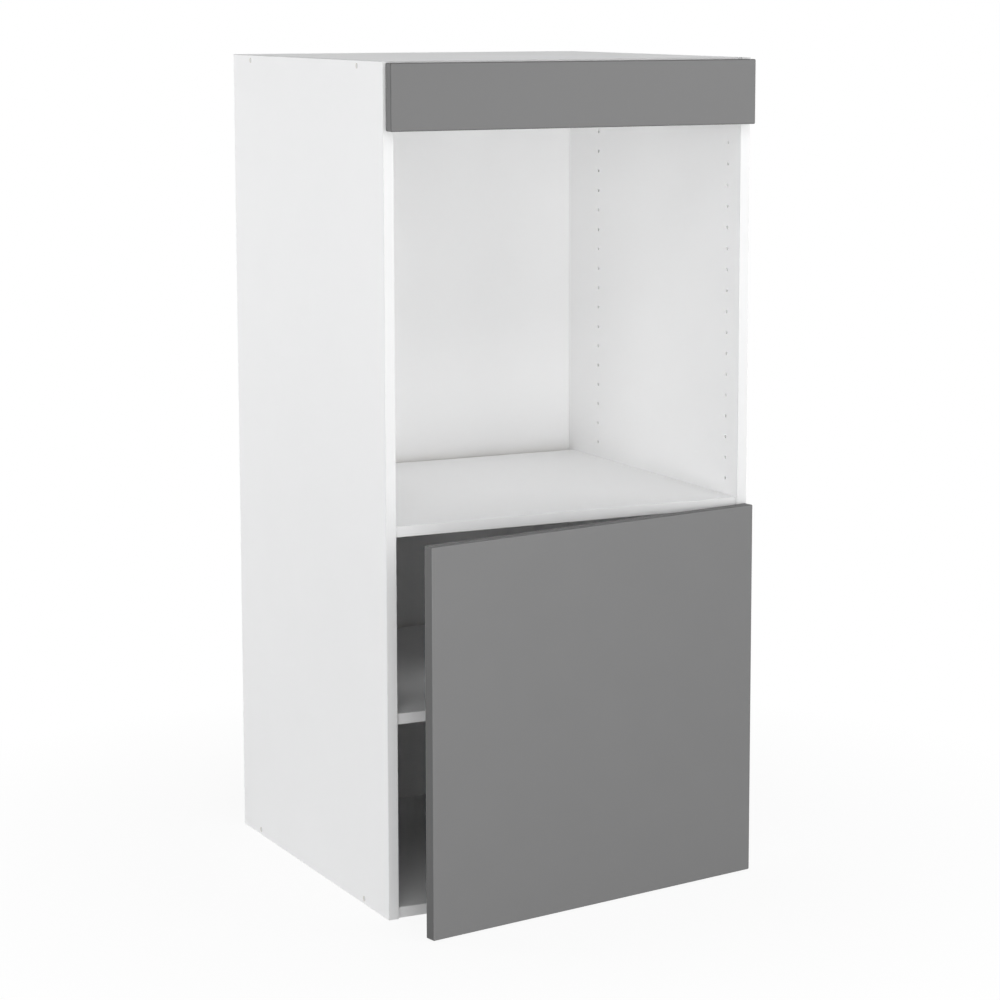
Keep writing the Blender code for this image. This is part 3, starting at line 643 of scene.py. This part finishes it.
def back_panel():
    """The sheet, white on its inner face and raw on the others."""
    white = grained("lacquered_hardboard", sheet_shade, sheet_white, sheet_roughness,
                    sheet_pores_per_metre, sheet_relief)
    brown = grained("raw_hardboard", sheet_brown_dark, sheet_brown, sheet_brown_roughness,
                    sheet_brown_pores_per_metre, sheet_brown_relief, sheet_brown_clouds_per_metre)
    sheet = slab(back_low, back_high, sheet_arris)
    for face in sheet.faces:
        face.normal_update()
        face.material_index = on_face if face.normal.y < -looks_along else on_core
    mesh = finished_mesh("back_sheet", sheet, [white, brown])
    set_piece("back_sheet", mesh, ["back_panel"])


back_panel()


# Carcass screws: eight long zinc-plated screws with a hexagon socket, driven through the sides into the
# ends of the top and bottom boards. A white plastic cap hides each head.
zinc_light = (0.62, 0.63, 0.65)
zinc_dark = (0.52, 0.53, 0.55)
zinc_roughness = (0.28, 0.38)
zinc_spangles_per_metre = 300.0
plating_relief = 0.00001
pores_in_spangle = 4
carcass_screw_head_radius = 0.0034
carcass_screw_chamfer = 0.0003
carcass_screw_shoulder = 0.008
carcass_screw_cone = 0.001
carcass_screw_neck = 0.016
carcass_screw_neck_slope = 0.0006
carcass_screw_core = 0.0017
carcass_screw_crest = 0.0024
carcass_screw_point = 0.003
carcass_screw_pitch = 0.003
carcass_screw_thread_start = 0.001
socket_reach = 0.0022
socket_depth = 0.003
socket_cone = 0.0006
socket_sides = 6
cap_radius = 0.0035
cap_bevel = 0.0004
cap_crown = 0.00018
cap_crown_shares = (0.5, 0.25)
cap_skirt = 0.0003
cap_foot = 0.00005
cap_sides = 36
screw_sides = 24
thread_root_share = 0.9
thread_half_share = 0.25


def plated(name, dark, light, roughness, spangles):
    """Plated steel, with a number of faint crystals or streaks per metre."""
    material = grained(name, dark, light, roughness, spangles * pores_in_spangle, plating_relief, spangles)
    material.node_tree.nodes["Principled BSDF"].inputs["Metallic"].default_value = 1.0
    return material


zinc = plated("zinc_plate", zinc_dark, zinc_light, zinc_roughness, zinc_spangles_per_metre)


def add_thread(bm, core, crest, top, bottom, rise):
    """Add a thread's ridge, wound down round the axis. It grows and dies away over its end turns."""
    steps = int((top - bottom) / rise * screw_sides)
    root = core * thread_root_share
    half = Vector((0, 0, rise * thread_half_share))
    rings = []
    for step in range(steps + 1):
        turn = math.tau * step / screw_sides
        grown = min(1, step / screw_sides, (steps - step) / screw_sides)
        out = Vector((math.cos(turn), math.sin(turn), 0))
        middle = Vector((0, 0, top - rise * step / screw_sides))
        ridge = out * (core + (crest - core) * grown)
        points = (middle + half + out * root, middle + ridge, middle - half + out * root)
        rings.append([bm.verts.new(point) for point in points])
    for upper, lower in zip(rings, rings[1:]):
        for corner in range(len(upper)):
            bm.faces.new((upper[corner], upper[corner - 1], lower[corner - 1], lower[corner]))
    bm.faces.new(rings[0])
    bm.faces.new(rings[-1][::-1])


def carcass_screw_mesh(length):
    """A tall head with a hexagon socket, on a shank that is threaded from its neck to its point."""
    thread_end = -length + carcass_screw_point
    head_profile = (
        (0, 0),
        (carcass_screw_head_radius - carcass_screw_chamfer, 0),
        (carcass_screw_head_radius, -carcass_screw_chamfer),
        (carcass_screw_head_radius, -carcass_screw_shoulder + carcass_screw_cone),
        (carcass_screw_crest, -carcass_screw_shoulder),
        (carcass_screw_crest, -carcass_screw_neck),
        (carcass_screw_core, -carcass_screw_neck - carcass_screw_neck_slope),
        (carcass_screw_core, thread_end),
        (0, -length),
    )
    socket_profile = (
        (0, drill_overrun),
        (socket_reach, drill_overrun),
        (socket_reach, -socket_depth),
        (0, -socket_depth - socket_cone),
    )
    shank = bmesh.new()
    add_turned(shank, head_profile, sides=screw_sides)
    socket = bmesh.new()
    add_turned(socket, socket_profile, sides=socket_sides)
    screw = cut_away(shank, socket)
    add_thread(screw, carcass_screw_core, carcass_screw_crest,
               -carcass_screw_neck - carcass_screw_thread_start, thread_end, carcass_screw_pitch)
    return finished_mesh("carcass_screw", screw, [zinc])


def screw_cap_mesh():
    """A low crown over a short skirt, which sits in the bore's mouth on top of the screw's head."""
    wide, drop = cap_crown_shares
    profile = (
        (0, 0),
        (cap_radius * wide, -cap_crown * drop),
        (cap_radius - cap_bevel, -cap_crown),
        (cap_radius, -cap_skirt),
        (cap_radius, -cap_skirt - cap_foot),
        (0, -cap_skirt - cap_foot),
    )
    cap = bmesh.new()
    add_turned(cap, profile, sides=cap_sides)
    # The cap takes the strips' white, with the same painted shade.
    return finished_mesh("screw_cap", cap, [edge_plastic_painted_shade])


def set_fixing(name, mesh, node, way, seat=0.0, body="carcass", turn=Matrix()):
    """Put a turned piece where its node is, pointing a way. The seat is how far its height zero lies
    below its top."""
    low, high = box_of(node, turn)
    way = Vector(way)
    top = (low + high) / 2 + way * abs((high - low).dot(way)) / 2
    set_piece(name, mesh, [node], body, turn @ place_along(top - way * seat, way))


def carcass_screws():
    """A screw at the front and the rear of both ends of both boards, with its cap."""
    screw = carcass_screw_mesh(length_of("carcass_screw_left_top_front", x_axis))
    cap = screw_cap_mesh()
    for side, out, face in (("left", -1, unit_left), ("right", 1, unit_right)):
        for level in ("bottom", "top"):
            for end in ("front", "rear"):
                node = f"carcass_screw_{side}_{level}_{end}"
                set_fixing(f"long_screw_{side}_{level}_{end}", screw, node, (out, 0, 0))
                centre = middle_of(node)
                set_piece(f"screw_cap_{side}_{level}_{end}", cap,
                          place=place_along((face, centre.y, centre.z), (out, 0, 0)))


carcass_screws()


# Cams and bolts: four bolts screwed into the sides reach into the oven shelf, where zinc cams in its
# underside are turned with a screwdriver to pull the joint tight.
cam_thickness = 0.0125
cam_radius = 0.0072
cam_hub_radius = 0.0035
cam_dish = 0.0004
cam_dish_slope = 0.0003
cam_lip = 0.0009
cam_chamfer = 0.0002
cam_slot_width = 0.0018
cam_slot_depth = 0.003
cam_slot_end = 0.0006
cam_sides = 40
bolt_core = 0.0017
bolt_crest = 0.0022
bolt_pitch = 0.0018
bolt_point = 0.001
bolt_thread_start = 0.0005
bolt_collar_radius = 0.003
bolt_collar_low = 0.0002
bolt_collar_high = 0.001
bolt_stem_radius = 0.0021
bolt_stem_low = 0.0012
bolt_stem_high = 0.0022
bolt_head_height = 0.0018
bolt_head_bevel = 0.0004
bolt_head_bevel_height = 0.0006


def cam_mesh():
    """A disc with a hub and a lip round a shallow dish, and a cross slot for the screwdriver."""
    lip_start = cam_radius - cam_lip
    profile = (
        (0, 0),
        (cam_hub_radius, 0),
        (cam_hub_radius + cam_dish_slope, -cam_dish),
        (lip_start - cam_dish_slope, -cam_dish),
        (lip_start, 0),
        (cam_radius - cam_chamfer, 0),
        (cam_radius, -cam_chamfer),
        (cam_radius, -cam_thickness),
        (0, -cam_thickness),
    )
    disc = bmesh.new()
    add_turned(disc, profile, sides=cam_sides)
    half = cam_slot_width / 2
    reach = cam_hub_radius - cam_slot_end
    for reach_x, reach_y in ((reach, half), (half, reach)):
        slot = slab((-reach_x, -reach_y, -cam_slot_depth), (reach_x, reach_y, drill_overrun))
        disc = cut_away(disc, slot)
    return finished_mesh("cam", disc, [zinc])


def cam_bolt_mesh(shank, length):
    """A bolt with its thread in the side, a collar that stops on it, and a head that the cam holds."""
    top = length - shank
    thread_end = -shank + bolt_point
    profile = (
        (0, top),
        (bolt_collar_radius - bolt_head_bevel, top),
        (bolt_collar_radius, top - bolt_head_bevel_height),
        (bolt_collar_radius, top - bolt_head_height),
        (bolt_stem_radius, top - bolt_stem_high),
        (bolt_stem_radius, bolt_stem_low),
        (bolt_collar_radius, bolt_collar_high),
        (bolt_collar_radius, bolt_collar_low),
        (bolt_core, 0),
        (bolt_core, thread_end),
        (0, -shank),
    )
    bolt = bmesh.new()
    add_turned(bolt, profile, sides=screw_sides)
    add_thread(bolt, bolt_core, bolt_crest, -bolt_thread_start, thread_end, bolt_pitch)
    return finished_mesh("cam_bolt", bolt, [zinc])


def cams_and_bolts():
    """A cam and its bolt at each corner of the oven shelf."""
    inner_left = box_of("left_side_panel")[1].x
    bolt_low, bolt_high = box_of("shelf_cam_bolt_left_front")
    length = bolt_high.x - bolt_low.x
    shank = inner_left - bolt_low.x
    cam = cam_mesh()
    bolt = cam_bolt_mesh(shank, length)
    for side, way in (("left", 1), ("right", -1)):
        for end in ("front", "rear"):
            set_fixing(f"cam_{side}_{end}", cam, f"shelf_cam_{side}_{end}", (0, 0, -1))
            set_fixing(f"cam_bolt_{side}_{end}", bolt, f"shelf_cam_bolt_{side}_{end}",
                       (way, 0, 0), seat=length - shank)


cams_and_bolts()


# Shelf pins: four nickel-plated steel pins, one near each corner of the loose shelf. Each is pushed into a
# hole by its slimmer end, and the shelf lies on the thicker stubs.
nickel_light = (0.68, 0.67, 0.64)
nickel_dark = (0.60, 0.59, 0.56)
nickel_roughness = (0.20, 0.28)
nickel_streaks_per_metre = 220.0
pin_radius = 0.0022
pin_in_hole = 0.009
pin_stub_radius = 0.0025
pin_stub_length = 0.008
pin_stub_start = 0.0003
pin_end_round = 0.0006
pin_round_parts = 3

nickel = plated("nickel_plate", nickel_dark, nickel_light, nickel_roughness, nickel_streaks_per_metre)


def shelf_pins():
    """A pin under each corner of the loose shelf."""
    part_round = pin_end_round / pin_round_parts
    profile = (
        (0, pin_stub_length),
        (pin_stub_radius - pin_end_round, pin_stub_length),
        (pin_stub_radius - part_round, pin_stub_length - part_round),
        (pin_stub_radius, pin_stub_length - pin_end_round),
        (pin_stub_radius, pin_stub_start),
        (pin_radius, pin_stub_start),
        (pin_radius, -pin_in_hole + pin_end_round),
        (pin_radius - pin_end_round, -pin_in_hole),
        (0, -pin_in_hole),
    )
    bm = bmesh.new()
    add_turned(bm, profile, sides=screw_sides)
    pin = finished_mesh("pin", bm, [nickel])
    for side, way in (("left", 1), ("right", -1)):
        for end in ("front", "rear"):
            set_fixing(f"pin_{side}_{end}", pin, f"shelf_pin_{side}_{end}", (way, 0, 0),
                       seat=pin_stub_length)


shelf_pins()


# Fascia: a 19 mm fibreboard panel sprayed with matt grey lacquer, its edges eased to 2 mm. It is screwed
# from behind to two zinc angles that are screwed to the sides.
# The fascia's greys sit below the door's greys of the same lacquer. This is painted shade that offsets the
# stronger lamp light falling on the fascia.
fascia_grey_with_painted_shade = (0.125, 0.125, 0.125)
fascia_dark_with_painted_shade = (0.122, 0.122, 0.122)
lacquer_roughness = (0.49, 0.51)
lacquer_pores_per_metre = 1100.0
lacquer_clouds_per_metre = 14.0
lacquer_relief = 0.00002
# The eased edges of the lacquer keep this share of their colour, as painted shade.
lacquer_painted_edge_shade_share = 0.50
edge_below = 0.5
face_above = 0.95
front_round = 0.002
front_round_segments = 4
angle_round = 0.0004
soft_edge_segments = 2
small_head = 0.0016
small_screw_sizes = {"head_radius": 0.0032, "core": 0.0012, "crest": 0.0017, "pitch": 0.0013}
dome_shares = ((0.5, 0.12), (0.84, 0.45))
crown_share = 0.9
point_share = 1.5
cross_width = 0.0009
cross_depth = 0.0008
cross_share = 0.62
weld_reach = 0.00001
flat_below = math.radians(1)


def painted_edge_shade_group():
    """Painted shade on the edges: a colour that keeps only a share of itself where a piece turns away from
    its front and back.
    """
    group = bpy.data.node_groups.new("painted_edge_shade", "ShaderNodeTree")
    group.interface.new_socket("Face Colour", in_out="INPUT", socket_type="NodeSocketColor")
    group.interface.new_socket("Painted Edge Shade Share", in_out="INPUT", socket_type="NodeSocketFloat")
    group.interface.new_socket("Colour", in_out="OUTPUT", socket_type="NodeSocketColor")
    entry = add_node(group, "NodeGroupInput")
    outward = add_node(group, "ShaderNodeTexCoord").outputs["Normal"]
    along = add_node(group, "ShaderNodeSeparateXYZ", {0: outward}).outputs["Y"]
    size = add_node(group, "ShaderNodeMath", {0: along}, operation="ABSOLUTE").outputs[0]
    painted_edge_shading = add_node(group, "ShaderNodeMapRange", {
        "Value": size, "From Min": edge_below, "From Max": face_above,
        "To Min": entry.outputs["Painted Edge Shade Share"], "To Max": 1.0})
    darker = add_node(group, "ShaderNodeVectorMath",
                      {0: entry.outputs["Face Colour"], "Scale": painted_edge_shading.outputs["Result"]},
                      operation="SCALE")
    add_node(group, "NodeGroupOutput", {"Colour": darker.outputs["Vector"]})
    return group


painted_edge_shade = painted_edge_shade_group()


def lacquer(name, dark, light):
    """Sprayed lacquer of one even coat, with painted shade that darkens the eased edges."""
    material = grained(name, dark, light, lacquer_roughness, lacquer_pores_per_metre, lacquer_relief,
                       lacquer_clouds_per_metre)
    tree = material.node_tree
    base_colour = tree.nodes["Principled BSDF"].inputs["Base Color"]
    # The group paints shade on the eased edges.
    painted_edge_shading = add_node(tree, "ShaderNodeGroup",
                    {"Face Colour": base_colour.links[0].from_socket, "Painted Edge Shade Share": lacquer_painted_edge_shade_share},
                    node_tree=painted_edge_shade)
    tree.links.new(painted_edge_shading.outputs["Colour"], base_colour)
    return material


fascia_lacquer_painted_shade = lacquer("fascia_grey_lacquer_painted_shade", fascia_dark_with_painted_shade, fascia_grey_with_painted_shade)


def softened(node, rounding):
    """A node's mesh with its flat faces joined and its sharp edges rounded."""
    bm = bmesh.new()
    bm.from_mesh(frame["nodes"][node].data)
    bmesh.ops.remove_doubles(bm, verts=bm.verts, dist=weld_reach)
    bmesh.ops.dissolve_limit(bm, angle_limit=flat_below, verts=bm.verts, edges=bm.edges)
    sharp = [edge for edge in bm.edges if edge.is_manifold and edge.calc_face_angle() > smooth_below]
    bmesh.ops.bevel(bm, geom=sharp, offset=rounding, segments=soft_edge_segments, profile=round_bevel,
                    affect="EDGES", clamp_overlap=True)
    return bm


def cross_headed(name, length, head, head_radius, core, crest, pitch, crown=crown_share):
    """A screw with a cross recess. The crown is the share of the head's height that is domed."""
    dome = head * crown
    tip = -length + head
    thread_end = tip + core * point_share
    profile = [(0, head)]
    profile += [(head_radius * wide, head - dome * drop) for wide, drop in dome_shares]
    profile += [(head_radius, head - dome), (head_radius, 0), (core, 0), (core, thread_end), (0, tip)]
    bm = bmesh.new()
    add_turned(bm, profile, sides=screw_sides)
    reach = head_radius * cross_share
    half = cross_width / 2
    for reach_x, reach_y in ((reach, half), (half, reach)):
        slot = slab((-reach_x, -reach_y, head - cross_depth), (reach_x, reach_y, head + drill_overrun))
        bm = cut_away(bm, slot)
    add_thread(bm, core, crest, -pitch / 2, thread_end, pitch)
    return finished_mesh(name, bm, [zinc])


def fascia():
    """The panel, bored on its inner face for the angles' screws. Its bores share the boards' raw finish."""
    low, high = box_of("top_fascia")
    panel = slab(low, high, front_round, front_round_segments)
    bores = bmesh.new()
    for side in ("left", "right"):
        screw = middle_of(f"bracket_screw_{side}_fascia")
        drill(bores, (screw.x, high.y, screw.z), (0, 1, 0), bracket_way_radius, bracket_way_depth)
    mesh = finished_mesh("fascia_panel", cut_away(panel, bores), [fascia_lacquer_painted_shade, chipboard])
    set_piece("fascia_panel", mesh, ["top_fascia"])


def fascia_angles():
    """An angle at each end of the panel, with one screw into the side and one into the panel."""
    length = length_of("bracket_screw_left_carcass", x_axis)
    screw = cross_headed("angle_screw", length, small_head, **small_screw_sizes)
    for side, way in (("left", 1), ("right", -1)):
        name = f"fascia_angle_{side}"
        node = f"fascia_bracket_{side}"
        set_piece(name, finished_mesh(name, softened(node, angle_round), [zinc]), [node])
        for end, towards in (("carcass", (way, 0, 0)), ("fascia", (0, 1, 0))):
            set_fixing(f"angle_screw_{side}_{end}", screw, f"bracket_screw_{side}_{end}",
                       towards, seat=small_head)


fascia()
fascia_angles()


# Door: a 19 mm lacquered fibreboard panel like the fascia, hung on the right and standing ajar. It is
# bored on its inner face for two hinge cups, and closes on two soft clear buffers.
door_grey = (0.150, 0.150, 0.150)
door_shade = (0.147, 0.147, 0.147)
door_ajar = math.radians(10.0)
link_turned_back = math.radians(-2.8)
cup_bore_radius = 0.0178
cup_bore_depth = 0.0125
cup_bore_sides = 64
cup_rim_reach = 0.0187
ear_way_radius = 0.0019
ear_way_depth = 0.014
buffer_light = (0.9, 0.9, 0.9)
buffer_shade = (0.80, 0.81, 0.82)
buffer_clouds_per_metre = 200.0
buffer_roughness = 0.28
buffer_clear_share = 0.75
buffer_dome = 0.0006
buffer_dome_shares = ((0.45, 0.2), (0.8, 0.7), (0.95, 1.2))
buffer_wall_share = 0.35
buffer_sides = 32

joint_places = {joint["name"]: Vector(joint["pos_m"]) for joint in frame["joints"]}
link_pin = joint_places["hinge_link_swing"]
door_pin = joint_places["door_swing"]


def upright_turn(axis_before, angle, axis_after):
    """The move of a piece that turns about an upright axis, while the axis itself may move."""
    turn = Matrix.Rotation(angle, 4, "Z")
    return Matrix.Translation(axis_after) @ turn @ Matrix.Translation(-axis_before)


link_turn = upright_turn(link_pin, link_turned_back, link_pin)
door_turn = upright_turn(link_turn.inverted() @ door_pin, door_ajar, door_pin)
door_lacquer = lacquer("door_grey_lacquer", door_shade, door_grey)


def door_bores(inner_face):
    """Bores for the hinges' cups and for the screws beside them."""
    cup_profile = ((0, drill_overrun), (cup_bore_radius, drill_overrun), (cup_bore_radius, -cup_bore_depth),
                   (0, -cup_bore_depth))
    bores = bmesh.new()
    for height in ("lower", "upper"):
        cup_low, cup_high = box_of(f"hinge_cup_{height}", door_turn)
        centre = (cup_high.x - cup_rim_reach, inner_face, (cup_low.z + cup_high.z) / 2)
        add_turned(bores, cup_profile, centre, (0, 1, 0), cup_bore_sides, on_core)
        for where in ("below", "above"):
            screw = middle_of(f"hinge_cup_screw_{height}_{where}", door_turn)
            drill(bores, (screw.x, inner_face, screw.z), (0, 1, 0), ear_way_radius, ear_way_depth)
    return bores


def door_panel():
    """The door, made as it is when closed and then swung to where it stands."""
    low, high = box_of("door_panel", door_turn)
    panel = cut_away(slab(low, high, front_round, front_round_segments), door_bores(high.y))
    mesh = finished_mesh("cupboard_door", panel, [door_lacquer, chipboard])
    mesh.transform(door_turn)
    set_piece("cupboard_door", mesh, ["door_panel"], "door")


def clear_soft():
    """Clear soft plastic with faint clouds."""
    material, tree, surface = new_finish("clear_soft_plastic")
    grain = add_node(tree, "ShaderNodeGroup", {"Clouds per Metre": buffer_clouds_per_metre},
                     node_tree=fine_grain)
    colour = cloudy(tree, grain.outputs["Clouds"], buffer_shade, buffer_light)
    tree.links.new(colour, surface.inputs["Base Color"])
    surface.inputs["Roughness"].default_value = buffer_roughness
    surface.inputs["Transmission Weight"].default_value = buffer_clear_share
    return material


def door_buffers():
    """Two low domes stuck on the door's inner face at its free edge."""
    low, high = box_of("door_buffer_lower", door_turn)
    radius = (high.x - low.x) / 2
    height = high.y - low.y
    profile = [(0, height)]
    profile += [(radius * wide, height - buffer_dome * drop) for wide, drop in buffer_dome_shares]
    profile += [(radius, height * buffer_wall_share), (radius, 0), (0, 0)]
    bm = bmesh.new()
    add_turned(bm, profile, sides=buffer_sides)
    mesh = finished_mesh("soft_buffer", bm, [clear_soft()])
    for where in ("lower", "upper"):
        node = f"door_buffer_{where}"
        centre = middle_of(node, door_turn)
        place = place_along((centre.x, low.y, centre.z), (0, 1, 0))
        set_piece(f"soft_buffer_{where}", mesh, [node], "door", door_turn @ place)


door_panel()
door_buffers()


# Hinges: two concealed hinges, pressed from nickel-plated steel. The cup is screwed into the door, and the
# cranked link joins it to an arm, which is clamped to a zinc plate on the side panel.
hinge_round = 0.0003
cup_round = 0.0002
cup_screw_head = 0.0006
cup_screw_crown = 0.5
plate_screw_head = 0.0018
plate_screw_sizes = {"head_radius": 0.0038, "core": 0.0017, "crest": 0.0022, "pitch": 0.0020}
arm_screw_head = 0.0012
arm_screw_crown = 0.4
arm_screw_sizes = {"head_radius": 0.0028, "core": 0.0014, "crest": 0.0017, "pitch": 0.0008}


def pressed_part(node, finish, body="carcass", rounding=hinge_round):
    """A part of a hinge in its own finish, with its edges rounded."""
    name = f"pressed_{node}"
    set_piece(name, finished_mesh(name, softened(node, rounding), [finish]), [node], body)


def hinge_screws():
    """The meshes of the screws of the cup, the plate and the arm."""
    cup_length = length_of("hinge_cup_screw_lower_below", y_axis, door_turn)
    plate_length = length_of("hinge_plate_screw_lower_below", x_axis)
    arm_length = length_of("hinge_clamping_screw_lower", x_axis)
    return (cross_headed("cup_screw", cup_length, cup_screw_head, crown=cup_screw_crown,
                         **small_screw_sizes),
            cross_headed("plate_screw", plate_length, plate_screw_head, **plate_screw_sizes),
            cross_headed("arm_screw", arm_length, arm_screw_head, crown=arm_screw_crown,
                         **arm_screw_sizes))


def hinge(height, cup_mesh, plate_mesh, arm_mesh):
    """One hinge at its height, with its screws."""
    pressed_part(f"hinge_plate_{height}", zinc)
    pressed_part(f"hinge_arm_{height}", nickel)
    pressed_part(f"hinge_arm_pin_{height}", nickel)
    pressed_part(f"hinge_link_{height}", nickel, "hinge_links")
    pressed_part(f"hinge_cup_{height}", nickel, "door", cup_round)
    for where in ("below", "above"):
        set_fixing(f"cup_screw_{height}_{where}", cup_mesh,
                   f"hinge_cup_screw_{height}_{where}", (0, 1, 0), cup_screw_head, "door", door_turn)
        set_fixing(f"plate_screw_{height}_{where}", plate_mesh,
                   f"hinge_plate_screw_{height}_{where}", (-1, 0, 0), plate_screw_head)
    for use in ("adjusting", "clamping"):
        set_fixing(f"{use}_screw_{height}", arm_mesh, f"hinge_{use}_screw_{height}",
                   (-1, 0, 0), arm_screw_head)


screw_meshes = hinge_screws()
for height in ("lower", "upper"):
    hinge(height, *screw_meshes)
